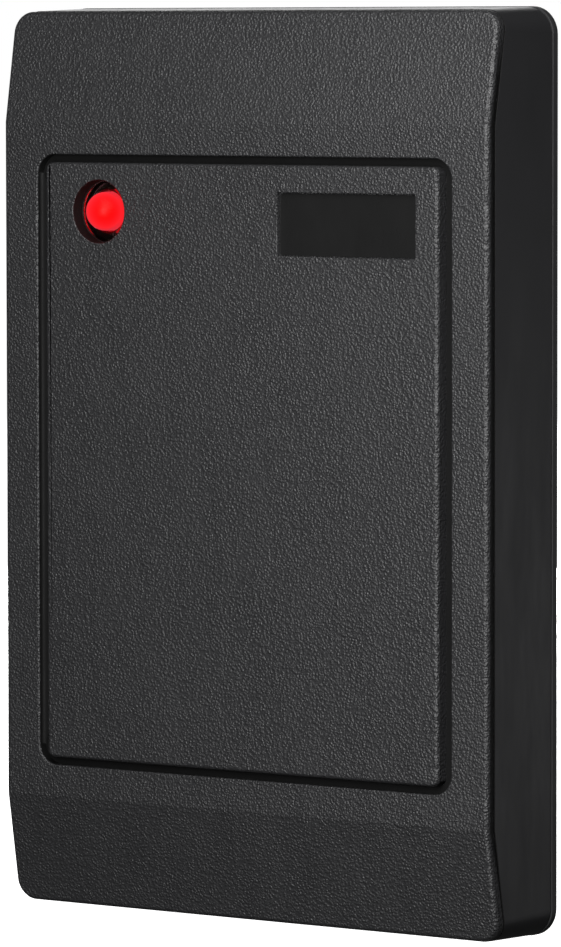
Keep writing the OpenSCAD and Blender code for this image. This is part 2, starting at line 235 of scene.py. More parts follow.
def turned(name: str, at: Vector, profile: Profile, ring: bool = False, sides: int = 64) -> Piece:
    """A turned piece on an axis along Y, drawn out ring by ring.

    Args:
        name: The object's name.
        at: Where the axis is.
        profile: Radius and depth at each step, from the wall side forwards.
        ring: Whether the last step joins the first again, so that the axis stays open.
        sides: Number of facets round the axis.

    Returns:
        The new object.
    """
    radius, depth = profile[0]
    bpy.ops.object.select_all(action="DESELECT")
    place = (at.x, -depth, at.z)
    upright = (QUARTER, 0, 0)
    bpy.ops.mesh.primitive_circle_add(vertices=sides, radius=radius, location=place, rotation=upright)
    piece = bpy.context.object
    piece.name = name
    settle(piece)
    with editing(piece):
        bpy.ops.mesh.select_all(action="SELECT")
        for (radius, depth), (next_radius, next_depth) in zip(profile, profile[1:]):
            bpy.ops.mesh.extrude_edges_move(TRANSFORM_OT_translate={"value": (0, depth - next_depth, 0)})
            share = next_radius / radius
            bpy.ops.transform.resize(value=(share, 1, share), center_override=(at.x, -next_depth, at.z))
        bpy.ops.mesh.select_all(action="SELECT")
        bpy.ops.mesh.remove_doubles(threshold=MERGE)
        if not ring:
            bpy.ops.mesh.fill_holes(sides=0)
        bpy.ops.mesh.select_all(action="SELECT")
        bpy.ops.mesh.normals_make_consistent(inside=False)
    return piece


def arc(centre: Point, radius: float, start: float, end: float, steps: int) -> list[Point]:
    """Points on an arc of a turned profile.

    Args:
        centre: The arc's centre, as radius and depth.
        radius: The arc's own radius.
        start: First angle in degrees, 0 outwards from the axis and 90 forwards.
        end: Last angle in degrees.
        steps: Number of facets.

    Returns:
        The points, as radius and depth.
    """
    points = []
    for step in range(steps + 1):
        turn = math.radians(start + (end - start) * step / steps)
        out = max(centre[0] + radius * math.cos(turn), 0.0)
        points.append((out, centre[1] + radius * math.sin(turn)))
    return points


def trim(piece: Piece, limits: Piece) -> Piece:
    """Keeps only what lies inside a second solid, and clears the second one away.

    Args:
        piece: The object that stays.
        limits: The solid that is used up.

    Returns:
        The piece.
    """
    activate(piece)
    modifier = piece.modifiers.new("trim", "BOOLEAN")
    modifier.operation = "INTERSECT"
    modifier.solver = "EXACT"
    modifier.object = limits
    bpy.ops.object.modifier_apply(modifier=modifier.name)
    bpy.data.objects.remove(limits)
    return piece


def soften(piece: Piece, width: float, steps: int = 2, least: float = 40) -> Piece:
    """Rounds all of a piece's sharp edges a little.

    Args:
        piece: The object to work on.
        width: How far back from each edge the rounding starts.
        steps: Number of facets across the rounding.
        least: The least angle in degrees that counts as sharp.

    Returns:
        The piece.
    """
    activate(piece)
    modifier = piece.modifiers.new("soften", "BEVEL")
    modifier.width = width
    modifier.segments = steps
    modifier.limit_method = "ANGLE"
    modifier.angle_limit = math.radians(least)
    bpy.ops.object.modifier_apply(modifier=modifier.name)
    return piece


def shade(piece: Piece, crease: float = 32) -> Piece:
    """Shades a piece smooth up to an angle, with its flat faces kept flat.

    Args:
        piece: The object to shade.
        crease: The angle in degrees past which an edge stays sharp.

    Returns:
        The piece.
    """
    activate(piece)
    bpy.ops.object.shade_smooth_by_angle(angle=math.radians(crease))
    modifier = piece.modifiers.new("flats", "WEIGHTED_NORMAL")
    modifier.keep_sharp = True
    modifier.weight = FLAT_WEIGHT
    bpy.ops.object.modifier_apply(modifier=modifier.name)
    return piece


def flatten(piece: Piece) -> None:
    """Joins neighbouring facets that lie in one plane.

    Args:
        piece: The object to work on.
    """
    with editing(piece):
        bpy.ops.mesh.select_all(action="SELECT")
        bpy.ops.mesh.dissolve_limited(angle_limit=FLAT_ANGLE)


def casting(node: str, name: str) -> Piece:
    """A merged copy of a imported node's solid, ready to be worked on.

    Args:
        node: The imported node.
        name: The new object's name.

    Returns:
        The new object.
    """
    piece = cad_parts[node].copy()
    piece.data = piece.data.copy()
    piece.data.materials.clear()
    piece.name = name
    piece.parent = None
    for key in list(piece.keys()):
        del piece[key]
    bpy.context.scene.collection.objects.link(piece)
    with editing(piece):
        bpy.ops.mesh.select_all(action="SELECT")
        bpy.ops.mesh.remove_doubles(threshold=MERGE)
    flatten(piece)
    return piece


# ---------------------------------------------------------------- finishes


class Graph:
    """One material's nodes, added by kind and wired by socket name."""

    def __init__(self, name: str) -> None:
        """Starts a material with a shader and an output.

        Args:
            name: The material's name.
        """
        self.material = bpy.data.materials.new(name)
        self.material.use_nodes = True
        self.tree = self.material.node_tree
        self.tree.nodes.clear()
        output = self.add("OutputMaterial")
        self.shader = self.add("BsdfPrincipled")
        self.join(self.shader, "BSDF", output, "Surface")
        self.place = self.add("TexCoord")

    def add(self, kind: str, **values: Any) -> Node:
        """Adds a node.

        Args:
            kind: The node's kind, without Blender's prefix.
            values: Socket values, with underscores for spaces, or properties of the node.

        Returns:
            The node.
        """
        node = self.tree.nodes.new("ShaderNode" + kind)
        for key, value in values.items():
            socket = node.inputs.get(key.replace("_", " "))
            if socket is None:
                setattr(node, key, value)
            else:
                socket.default_value = value
        return node

    def join(self, source: Node, out: Socket, target: Node, into: Socket) -> None:
        """Wires one node's output into another node's input.

        Args:
            source: The node that gives the value.
            out: Its output.
            target: The node that takes the value.
            into: Its input.
        """
        self.tree.links.new(source.outputs[out], target.inputs[into])

    def cloud(
        self, size: float, stretch: Colour = (1, 1, 1), detail: float = 2, rough: float = 0.6
    ) -> Node:
        """Adds a soft random pattern on the piece's own coordinates.

        Args:
            size: Width of one blotch, in metres.
            stretch: How many times longer a blotch is along each axis.
            detail: How many finer layers it has.
            rough: How strong the finer layers are.

        Returns:
            The noise node, whose Fac output runs from 0 to 1.
        """
        mapping = self.add("Mapping", Scale=[1 / s for s in stretch])
        self.join(self.place, "Object", mapping, "Vector")
        noise = self.add("TexNoise", Scale=1 / size, Detail=detail, Roughness=rough)
        self.join(mapping, "Vector", noise, "Vector")
        return noise

    def spread(self, source: Node, run: tuple[float, float], start: float, end: float) -> Node:
        """Stretches part of a value's run over a new run.

        Args:
            source: The node whose first output is stretched.
            run: The value that becomes start and the value that becomes end.
            start: The new run's first value.
            end: The new run's last value.

        Returns:
            The node whose Result output is the new value.
        """
        node = self.add("MapRange")
        for key, value in {"From Min": run[0], "From Max": run[1], "To Min": start, "To Max": end}.items():
            node.inputs[key].default_value = value
        self.join(source, 0, node, "Value")
        return node

    def blend(self, source: Node, out: Socket, first: Colour, second: Colour) -> Node:
        """Blends two colours by a value.

        Args:
            source: The node that gives the value.
            out: Its output.
            first: The colour at 0.
            second: The colour at 1.

        Returns:
            The ramp node, whose Color output is the blend.
        """
        ramp = self.add("ValToRGB")
        ramp.color_ramp.elements[0].color = (*first, 1)
        ramp.color_ramp.elements[1].color = (*second, 1)
        self.join(source, out, ramp, "Fac")
        return ramp

    def relief(self, source: Node, out: Socket, height: float) -> Node:
        """Adds a relief on top of any earlier one.

        Args:
            source: The node that gives the height, from 0 to 1.
            out: Its output.
            height: The relief's full height, in metres.

        Returns:
            The bump node.
        """
        bump = self.add("Bump", Strength=1.0, Distance=height)
        self.join(source, out, bump, "Height")
        earlier = self.shader.inputs["Normal"].links
        if earlier:
            self.tree.links.new(earlier[0].from_socket, bump.inputs["Normal"])
        self.join(bump, "Normal", self.shader, "Normal")
        return bump


def tint(colour: Colour, share: float) -> Colour:
    """A colour made lighter or darker by a share."""
    return tuple(min(part * share, 1.0) for part in colour)


@dataclass(frozen=True)
class Finish:
    """A solid finish: colour that wanders a little, grain, and faint handling marks."""

    colour: Colour
    roughness: float
    metallic: float = 0.0
    specular: float = 0.5
    coat: float = 0.0
    grain: float = 0.3 * MM
    relief: float = 0.006 * MM
    pebble: float = 0.0
    stretch: Colour = (1, 1, 1)
    mottle: float = 0.12
    patch: float = 7 * MM
    marks: float = 0.06
    streak: Colour = (1, 1, 4)
    pebble_edge: tuple[float, float] = (0.0, 0.7)

    def build(self, name: str) -> bpy.types.Material:
        """Makes the finish's material.

        Args:
            name: The material's name.

        Returns:
            The material.
        """
        graph = Graph(name)
        shader = graph.shader
        shader.inputs["Metallic"].default_value = self.metallic
        shader.inputs["Specular IOR Level"].default_value = self.specular
        shader.inputs["Coat Weight"].default_value = self.coat
        wander = graph.cloud(self.patch, detail=4)
        dark, light = tint(self.colour, 1 - self.mottle), tint(self.colour, 1 + self.mottle)
        graph.join(graph.blend(wander, "Fac", dark, light), "Color", shader, "Base Color")
        handled = graph.cloud(self.patch / 2, self.streak, detail=5, rough=0.7)
        low, high = self.roughness - self.marks, self.roughness + self.marks
        graph.join(graph.spread(handled, CENTRE, low, high), "Result", shader, "Roughness")
        graph.relief(graph.cloud(self.grain, self.stretch, detail=3), "Fac", self.relief)
        if self.pebble:
            self.add_pebbles(graph)
        return graph.material

    def add_pebbles(self, graph: Graph) -> None:
        """Adds the close round pebbles of a spark-eroded mould.

        Args:
            graph: The material's nodes.
        """
        pebbles = graph.add("TexVoronoi", feature="F1", Scale=1 / self.grain)
        graph.join(graph.place, "Object", pebbles, "Vector")
        graph.relief(graph.spread(pebbles, self.pebble_edge, 1.0, 0.0), "Result", self.pebble)


@dataclass(frozen=True)
class ClearFinish:
    """Smoky clear moulded plastic with faint flow lines."""

    tone: Colour = (0.42, 0.18, 0.19)
    roughness: float = 0.09
    index: float = 1.49
    flow_size: float = 1.5 * MM
    ripple: float = 0.01 * MM
    unevenness: float = 0.4

    def build(self, name: str) -> bpy.types.Material:
        """Makes the clear material.

        Args:
            name: The material's name.

        Returns:
            The material.
        """
        graph = Graph(name)
        shader = graph.shader
        shader.inputs["Transmission Weight"].default_value = 1.0
        shader.inputs["IOR"].default_value = self.index
        flow = graph.cloud(self.flow_size)
        colour = graph.blend(flow, "Fac", tint(self.tone, 0.95), self.tone)
        graph.join(colour, "Color", shader, "Base Color")
        low, high = self.roughness * (1 - self.unevenness), self.roughness * (1 + self.unevenness)
        graph.join(graph.spread(flow, CENTRE, low, high), "Result", shader, "Roughness")
        graph.relief(flow, "Fac", self.ripple)
        return graph.material


@dataclass(frozen=True)
class GlowFinish:
    """Tinted light body that glows, with a painted reflection: its glow turns paler towards its rim."""

    body: Colour = (0.3, 0.0, 0.0)
    glow: Colour = (1.0, 0.0, 0.0)
    # painted reflection: this paler glow colour at the rim stands in for the lights' sheen on the dome
    rim: Colour = (0.5, 0.04, 0.06)
    strength: float = 1.05
    specular: float = 0.08
    roughness: tuple[float, float] = (0.4, 0.5)
    cloud_size: float = 0.8 * MM
    ripple: float = 0.002 * MM
    rim_sheen_width: float = 0.42

    def build(self, name: str) -> bpy.types.Material:
        """Makes the glowing material.

        Args:
            name: The material's name.

        Returns:
            The material.
        """
        graph = Graph(name)
        shader = graph.shader
        shader.inputs["Emission Strength"].default_value = self.strength
        shader.inputs["Specular IOR Level"].default_value = self.specular
        cloudy = graph.cloud(self.cloud_size)
        colour = graph.blend(cloudy, "Fac", tint(self.body, 0.9), self.body)
        graph.join(colour, "Color", shader, "Base Color")
        graph.join(graph.spread(cloudy, CENTRE, *self.roughness), "Result", shader, "Roughness")
        # painted reflection: the glow fades to the paler rim colour where the surface turns away from view
        edge = graph.add("LayerWeight", Blend=self.rim_sheen_width)
        graph.join(graph.blend(edge, "Facing", self.glow, self.rim), "Color", shader, "Emission Color")
        graph.relief(cloudy, "Fac", self.ripple)
        return graph.material


@dataclass(frozen=True)
class BoardFinish:
    """Green solder mask with copper tracks showing through it."""

    mask: Colour = (0.01, 0.09, 0.035)
    track: Colour = (0.03, 0.19, 0.07)
    pitch: float = 2.54 * MM
    track_width: float = 0.06
    track_height: float = 0.02 * MM
    roughness: tuple[float, float] = (0.25, 0.38)
    cloud_size: float = 4 * MM
    grain: float = 0.5 * MM
    grain_height: float = 0.004 * MM

    def build(self, name: str) -> bpy.types.Material:
        """Makes the board's material.

        Args:
            name: The material's name.

        Returns:
            The material.
        """
        graph = Graph(name)
        shader = graph.shader
        turn = graph.add("Mapping", Rotation=(QUARTER, 0, 0))
        graph.join(graph.place, "Object", turn, "Vector")
        tracks = graph.add("TexBrick", Scale=1 / self.pitch, offset=0.37, squash=1.6, squash_frequency=3)
        tracks.inputs["Color1"].default_value = (*self.mask, 1)
        tracks.inputs["Color2"].default_value = (*tint(self.mask, 0.85), 1)
        tracks.inputs["Mortar"].default_value = (*self.track, 1)
        tracks.inputs["Mortar Size"].default_value = self.track_width
        graph.join(turn, "Vector", tracks, "Vector")
        graph.join(tracks, "Color", shader, "Base Color")
        cloudy = graph.cloud(self.cloud_size, detail=4)
        graph.join(graph.spread(cloudy, CENTRE, *self.roughness), "Result", shader, "Roughness")
        graph.relief(tracks, "Fac", self.track_height)
        graph.relief(graph.cloud(self.grain), "Fac", self.grain_height)
        return graph.material


@dataclass(frozen=True)
class FloorFinish:
    """Pale studio floor, bright enough to run out to white."""

    tone: Colour = (0.9, 0.9, 0.9)
    lift: float = 1.0
    cloud_size: float = 30 * MM
    roughness: tuple[float, float] = (0.85, 0.95)

    def build(self, name: str) -> bpy.types.Material:
        """Makes the floor's material.

        Args:
            name: The material's name.

        Returns:
            The material.
        """
        graph = Graph(name)
        shader = graph.shader
        cloudy = graph.cloud(self.cloud_size)
        colour = graph.blend(cloudy, "Fac", tint(self.tone, 0.98), self.tone)
        graph.join(colour, "Color", shader, "Base Color")
        graph.join(graph.spread(cloudy, CENTRE, *self.roughness), "Result", shader, "Roughness")
        shader.inputs["Emission Color"].default_value = WHITE
        shader.inputs["Emission Strength"].default_value = self.lift
        return graph.material


BLACK = (0.016, 0.016, 0.017)
FINISHES: dict[str, Any] = {
    "textured_plastic": Finish(
        (0.017, 0.017, 0.018), 0.44, grain=0.34 * MM, relief=0.12 * MM, pebble=0.09 * MM
    ),
    "smooth_plastic": Finish(BLACK, 0.34, grain=0.6 * MM, relief=0.002 * MM),
    "plain_plastic": Finish((0.022, 0.022, 0.023), 0.45, grain=0.25 * MM, relief=0.006 * MM),
    # painted shade: a darker, duller black for the groove, the housing's rim and the light hole's wall,
    # where shade falls
    "painted_shade_plastic": Finish((0.004, 0.004, 0.004), 0.6, specular=0.12, grain=0.3 * MM, relief=0.01 * MM),
    "badge": Finish((0.008, 0.008, 0.008), 0.3, specular=0.3, grain=0.5 * MM, relief=0.002 * MM),
    "clear_lens": ClearFinish(),
    "red_light": GlowFinish(),
    "board": BoardFinish(),
    "tinned_metal": Finish((0.72, 0.71, 0.69), 0.28, metallic=1.0, grain=0.15 * MM, relief=0.004 * MM),
    "nylon": Finish((0.72, 0.7, 0.62), 0.5, grain=0.3 * MM, relief=0.004 * MM),
    "coil_wire": Finish((0.62, 0.22, 0.08), 0.3, metallic=1.0, coat=0.5, grain=0.2 * MM, relief=0.002 * MM),
    "rubber": Finish((0.03, 0.03, 0.031), 0.72, grain=0.12 * MM, relief=0.01 * MM),
    "steel": Finish(
        (0.56, 0.56, 0.57), 0.27, metallic=1.0, grain=0.06 * MM, relief=0.003 * MM, stretch=(4, 1, 1)
    ),
    "gold_metal": Finish((0.8, 0.6, 0.25), 0.25, metallic=1.0, grain=0.1 * MM, relief=0.003 * MM),
    "chip_body": Finish((0.018, 0.018, 0.02), 0.55, grain=0.08 * MM, relief=0.006 * MM),
    "aluminium_can": Finish((0.7, 0.7, 0.72), 0.3, metallic=1.0, grain=0.1 * MM, relief=0.004 * MM),
    "ceramic_tan": Finish((0.42, 0.28, 0.16), 0.45, grain=0.1 * MM, relief=0.004 * MM),
    "buzzer_plastic": Finish((0.02, 0.02, 0.02), 0.38, grain=0.15 * MM, relief=0.004 * MM),
    "floor": FloorFinish(),
}


@dataclass
class PaintShop:
    """Makes each finish once and puts it on pieces."""

    mixed: dict[str, bpy.types.Material] = field(default_factory=dict)

    def mix(self, finish: str) -> bpy.types.Material:
        """The material of a finish, made when it is first asked for.

        Args:
            finish: The finish's name.

        Returns:
            The material.
        """
        if finish not in self.mixed:
            self.mixed[finish] = FINISHES[finish].build(finish)
        return self.mixed[finish]

    def paint(self, piece: Piece, finish: str) -> None:
        """Puts a finish on a piece, in place of any it has.

        Args:
            piece: The object to paint.
            finish: The finish's name.
        """
        material = self.mix(finish)
        if piece.material_slots:
            for place in piece.material_slots:
                place.material = material
        else:
            piece.data.materials.append(material)

    def paint_part(self, piece: Piece, finish: str, test: Test) -> None:
        """Puts a second finish on some of a piece's faces.

        Args:
            piece: The object to paint.
            finish: The finish's name.
            test: Says from its centre and normal whether a face gets the finish.
        """
        piece.data.materials.append(self.mix(finish))
        piece.active_material_index = len(piece.material_slots) - 1
        with picked(piece, Element.FACE, test):
            bpy.ops.object.material_slot_assign()


# ---------------------------------------------------------------- sub-assemblies


@dataclass(frozen=True)
class Outside:
    """The drafted, sloping outside that the housing and the front cover share."""

    half_width: float
    half_height: float
    depth: float
    draft: float = math.radians(2)
    slope_height: float = 14.5 * MM
    slope_angle: float = math.radians(10)
    corner_steps: int = 14

    @property
    def crease(self) -> float:
        """Height at which the flat front turns into the sloping bands."""
        return self.half_height - self.slope_height

    def front_depth(self, height: float) -> float:
        """Depth of the front at a height."""
        return self.depth - max(0.0, abs(height) - self.crease) * math.tan(self.slope_angle)

    def half_sizes(self, depth: float, inset: float) -> tuple[float, float]:
        """Half the width and half the height at a depth, less an inset."""
        lean = depth * math.tan(self.draft) + inset
        return self.half_width - lean, self.half_height - lean

    def envelope(self, inset: float, rear: float, behind: float, corners: tuple[float, float]) -> Piece:
        """A solid that fills the outside, to trim a casting with.

        Args:
            inset: How far its sides stand inside the outside's.
            rear: Depth of its flat back.
            behind: How far its front lies behind the outside's.
            corners: Corner radius at the back and at the front.

        Returns:
            The solid.
        """
        front = self.depth - behind
        wide, tall = self.half_sizes(rear, inset)
        narrow, low = self.half_sizes(front, inset)
        ends = Vector((-wide, -front, -tall)), Vector((wide, -rear, tall))
        piece = block("envelope", *ends, corners[0], self.corner_steps)
        share = corners[1] / corners[0]
        edge_x = wide - corners[0] - TOUCH
        edge_z = tall - corners[0] - TOUCH

        def at_front(p: Vector) -> bool:
            """Whether a corner lies in the front."""
            return p.y < -rear - TOUCH

        for side, end in product((-1, 1), repeat=2):
            with picked(
                piece, Element.CORNER, lambda p: at_front(p) and p.x * side > edge_x and p.z * end > edge_z
            ):
                at = (side * wide, -front, end * tall)
                bpy.ops.transform.resize(value=(share, 1, share), center_override=at)
        with picked(piece, Element.CORNER, at_front):
            bpy.ops.transform.resize(value=(narrow / wide, 1, low / tall), center_override=(0, -front, 0))
        for end in (-1, 1):
            fall = Vector((0, -math.cos(self.slope_angle), end * math.sin(self.slope_angle)))
            with editing(piece):
                bpy.ops.mesh.select_all(action="SELECT")
                start = (0, -front, end * self.crease)
                bpy.ops.mesh.bisect(plane_co=start, plane_no=fall, use_fill=True, clear_outer=True)
        return piece

    def on_front(self, behind: float, slack: float = 0.02 * MM) -> Test:
        """A test for edges that lie in the front surface, moved back by a distance.

        Args:
            behind: How far the surface is moved back.
            slack: How far from it an edge may lie.

        Returns:
            The test.
        """
        return lambda a, b: all(abs(-p.y - self.front_depth(p.z) + behind) < slack for p in (a, b))


@dataclass
class SubAssembly:
    """Common ground of the sub-assemblies."""

    shop: PaintShop

    def add(self, piece: Piece, finish: str, *nodes: str, body: str) -> Piece:
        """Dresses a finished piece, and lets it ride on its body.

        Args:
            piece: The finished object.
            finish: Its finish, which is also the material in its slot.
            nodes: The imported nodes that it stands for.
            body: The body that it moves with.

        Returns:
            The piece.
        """
        self.shop.paint(piece, finish)
        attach(piece, body)
        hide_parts(*nodes)
        log.info("%s: %d faces, %s, on %s", piece.name, len(piece.data.polygons), finish, body)
        return piece

    def refine(self, node: str, name: str, finish: str, width: float, body: str = "reader") -> Piece:
        """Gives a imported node's solid rounded edges and a finish.

        Args:
            node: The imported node.
            name: The new piece's name.
            finish: Its finish.
            width: Width of the rounding on its edges.
            body: The body that it moves with.

        Returns:
            The piece.
        """
        piece = soften(casting(node, name), width)
        return self.add(shade(piece), finish, node, body=body)


@dataclass
class Shell(SubAssembly):
    """Housing, front cover, raised face panel and blank label."""

    outside: Outside
    skin: float = 0.02 * MM
    plate_edge: float = 1.15 * MM
    cover_inset: float = 0.06 * MM
    rim_behind: float = 1.6 * MM
    cover_corner: float = 2.6 * MM
    housing_corners: tuple[float, float] = (3.5 * MM, 2.8 * MM)
    cover_rounding: float = 0.55 * MM
    rim_rounding: float = 0.05 * MM
    lip_rounding: float = 0.22 * MM
    groove: float = 1.6 * MM
    recess: float = 1.4 * MM
    panel_rounding: float = 0.5 * MM
    label_corner: float = 0.4 * MM
    label_rounding: float = 0.05 * MM
    pocket_rounding: float = 0.12 * MM
    hole_rounding: float = 0.15 * MM
    rear_rounding: float = 0.2 * MM
    cover_tool_rear: float = 5 * MM
    rim_reach: float = 1.2 * MM
    lip_depth: float = 0.3 * MM
    light_hole: float = 8.0 * MM
    hole_lip: float = 0.1 * MM
    faces_front: float = -0.3

    def build(self) -> None:
        """Makes the four mouldings."""
        self.make_housing()
        self.make_cover()
        self.make_panel()
        self.make_label()

    def make_housing(self) -> None:
        """Trims the housing's casting to its drafted, rounded outside."""
        rear = self.plate_edge + self.skin
        behind = self.rim_behind + self.skin
        solid = self.outside.envelope(self.skin, rear, behind, self.housing_corners)
        round_edges(solid, self.outside.on_front(behind), self.rim_rounding)
        round_edges(solid, lambda a, b: min(a.y, b.y) > -rear - TOUCH, self.rear_rounding)
        piece = trim(casting("housing", "housing_moulding"), solid)
        self.add(shade(piece), "smooth_plastic", "housing", body="reader")
        # painted shade: the housing's forward-facing rim gets the darker black
        self.shop.paint_part(piece, "painted_shade_plastic", lambda centre, normal: normal.y < self.faces_front)

    def make_cover(self) -> None:
        """Trims the front cover's casting, with its folds kept sharp and its rim and groove lip rounded."""
        inset = self.cover_inset + self.skin
        corners = (self.cover_corner, self.cover_corner)
        solid = self.outside.envelope(inset, self.cover_tool_rear, self.skin, corners)
        crease = self.outside.crease
        front = self.outside.depth - self.skin
        floor = self.outside.depth - self.recess
        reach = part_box("face_panel")[1].x + self.groove + TOUCH

        def at_fold(a: Vector, b: Vector) -> bool:
            """Whether an edge is a fold between the flat front and a sloping band."""
            return all(abs(abs(p.z) - crease) < TOUCH and abs(p.y + front) < TOUCH for p in (a, b))

        def at_lip(a: Vector, b: Vector) -> bool:
            """Whether an edge lies on the groove's lip."""
            return all(abs(p.y + front) < TOUCH and abs(p.x) < reach for p in (a, b))

        def in_recess(centre: Vector, normal: Vector) -> bool:
            """Whether a face lies in the groove's walls or floor."""
            return abs(centre.x) < reach and -front + self.lip_depth < centre.y < -floor + TOUCH

        round_edges(solid, self.outside.on_front(self.skin), self.cover_rounding, steps=4)
        piece = trim(casting("front_cover", "front_cover_moulding"), solid)
        flatten(piece)
        with picked(piece, Element.EDGE, at_fold):
            bpy.ops.mesh.mark_sharp()
        round_edges(piece, at_lip, self.lip_rounding)
        self.add(shade(piece), "textured_plastic", "front_cover", body="reader")
        # painted shade: the groove's walls and floor get the darker black
        self.shop.paint_part(piece, "painted_shade_plastic", in_recess)

    def make_panel(self) -> None:
        """Rounds the raised panel's rim, its light hole and its label pocket."""
        piece = casting("face_panel", "face_panel_moulding")
        low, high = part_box("face_panel")
        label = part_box("blank_badge")
        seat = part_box("status_led")
        eye = (seat[0] + seat[1]) / 2
        hole = self.light_hole / 2 + TOUCH
        inner = self.rim_reach

        def at_front(p: Vector) -> bool:
            """Whether a corner lies in the panel's front."""
            return p.y < low.y + TOUCH

        def at_rim(p: Vector) -> bool:
            """Whether a corner lies on the panel's outline."""
            return abs(p.x) > high.x - inner or abs(p.z) > high.z - inner

        def at_label(p: Vector) -> bool:
            """Whether a corner lies on the label pocket's outline."""
            across = label[0].x - inner < p.x < label[1].x + inner
            return across and label[0].z - inner < p.z < label[1].z + inner

        def on_label(a: Vector, b: Vector) -> bool:
            """Whether an edge belongs to the label pocket."""
            return all(at_front(p) and at_label(p) for p in (a, b))

        def on_rim(a: Vector, b: Vector) -> bool:
            """Whether an edge belongs to the panel's outline."""
            return all(at_front(p) and at_rim(p) for p in (a, b))

        def on_hole(a: Vector, b: Vector) -> bool:
            """Whether an edge belongs to the light hole."""
            return all(at_front(p) and not at_label(p) and not at_rim(p) for p in (a, b))

        round_edges(piece, on_label, self.pocket_rounding, steps=2)
        round_edges(piece, on_hole, self.hole_rounding)
        round_edges(piece, on_rim, self.panel_rounding, steps=4)
        self.add(shade(piece), "textured_plastic", "face_panel", body="reader")

        def in_hole(centre: Vector, normal: Vector) -> bool:
            """Whether a face lies in the wall of the light hole."""
            reach = math.hypot(centre.x - eye.x, centre.z - eye.z)
            return reach < hole and centre.y > low.y + self.hole_lip

        # painted shade: the light hole's wall gets the darker black
        self.shop.paint_part(piece, "painted_shade_plastic", in_hole)

    def make_label(self) -> None:
        """Makes the blank label that fills the pocket's floor."""
        low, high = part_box("blank_badge")
        piece = block("blank_label", low, high, self.label_corner)
        round_edges(piece, lambda a, b: max(a.y, b.y) < low.y + TOUCH, self.label_rounding, steps=2)
        self.add(shade(piece), "badge", "blank_badge", body="reader")


@dataclass
class StatusLight(SubAssembly):
    """Red light, the clear ring round it and its two leads."""

    flange: float = 1.0 * MM
    flange_reach: float = 0.45 * MM
    flat: float = 0.12 * MM
    dome_steps: int = 20
    ring_flange: float = 0.8 * MM
    ring_gap: float = 0.1 * MM
    ring_flat: float = 0.1 * MM
    ring_lip: float = 0.4 * MM
    lip_steps: int = 6
    crease: float = 40

    def build(self) -> None:
        """Makes the light and its ring."""
        self.make_light()
        self.make_ring()
        self.refine("led_leads", "light_leads", "tinned_metal", 0.06 * MM)

    def make_light(self) -> None:
        """Turns the light's flange, barrel and dome."""
        low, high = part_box("status_led")
        at = (low + high) / 2
        wide = (high.x - low.x) / 2
        barrel = wide - self.flange_reach
        rear, tip = -high.y, -low.y
        flange_front = rear + self.flange
        profile = [(wide - self.flat, rear), (wide, rear + self.flat), (wide, flange_front - self.flat),
                   (wide - self.flat, flange_front), (barrel, flange_front)]
        profile += arc((0, tip - barrel), barrel, 0, 90, self.dome_steps)
        piece = turned("status_light", at, profile)
        self.add(shade(piece, self.crease), "red_light", "status_led", body="reader")

    def make_ring(self) -> None:
        """Turns the clear ring, with its flange behind the cover and a rounded inner lip."""
        low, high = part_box("led_lens")
        at = (low + high) / 2
        flange_r = (high.x - low.x) / 2
        outer = flange_r - self.ring_flange
        bore = (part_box("status_led")[1].x - at.x) - self.flange_reach + self.ring_gap
        rear, front = -high.y, -low.y
        step = rear + self.ring_flange
        lip, flat = self.ring_lip, self.ring_flat
        profile = [(bore, rear), (flange_r - flat, rear), (flange_r, rear + flat), (flange_r, step)]
        profile += [(outer, step), (outer, front - flat), (outer - flat, front)]
        profile += arc((bore + lip, front - lip), lip, 90, 180, self.lip_steps) + [(bore, rear)]
        piece = turned("light_ring", at, profile, ring=True)
        self.add(shade(piece, self.crease), "clear_lens", "led_lens", body="reader")


@dataclass
class Back(SubAssembly):
    """Wall plate, rear cover with its gasket, grommet and screws, the latch and the tamper plunger."""

    def build(self) -> None:
        """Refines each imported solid."""
        self.refine("wall_plate", "wall_plate_moulding", "plain_plastic", 0.12 * MM, "wall")
        self.refine("rear_cover", "rear_cover_moulding", "plain_plastic", 0.1 * MM)
        self.refine("cover_gasket", "cover_gasket_strip", "rubber", 0.15 * MM)
        self.refine("cable_grommet", "cable_grommet_ring", "rubber", 0.15 * MM)
        self.refine("cover_screws", "rear_cover_screws", "steel", 0.05 * MM)
        self.refine("board_screws", "board_fixing_screws", "steel", 0.05 * MM)
        self.refine("captive_nut", "latch_nut", "gold_metal", 0.1 * MM)
        self.refine("screw_seal", "latch_seal", "rubber", 0.08 * MM)
        self.refine("security_screw", "latch_screw_steel", "steel", 0.1 * MM, "latch_screw")
        self.refine("tamper_plunger", "tamper_pin", "nylon", 0.1 * MM, "plunger")
        self.refine("tamper_switch", "tamper_switch_body", "chip_body", 0.08 * MM)


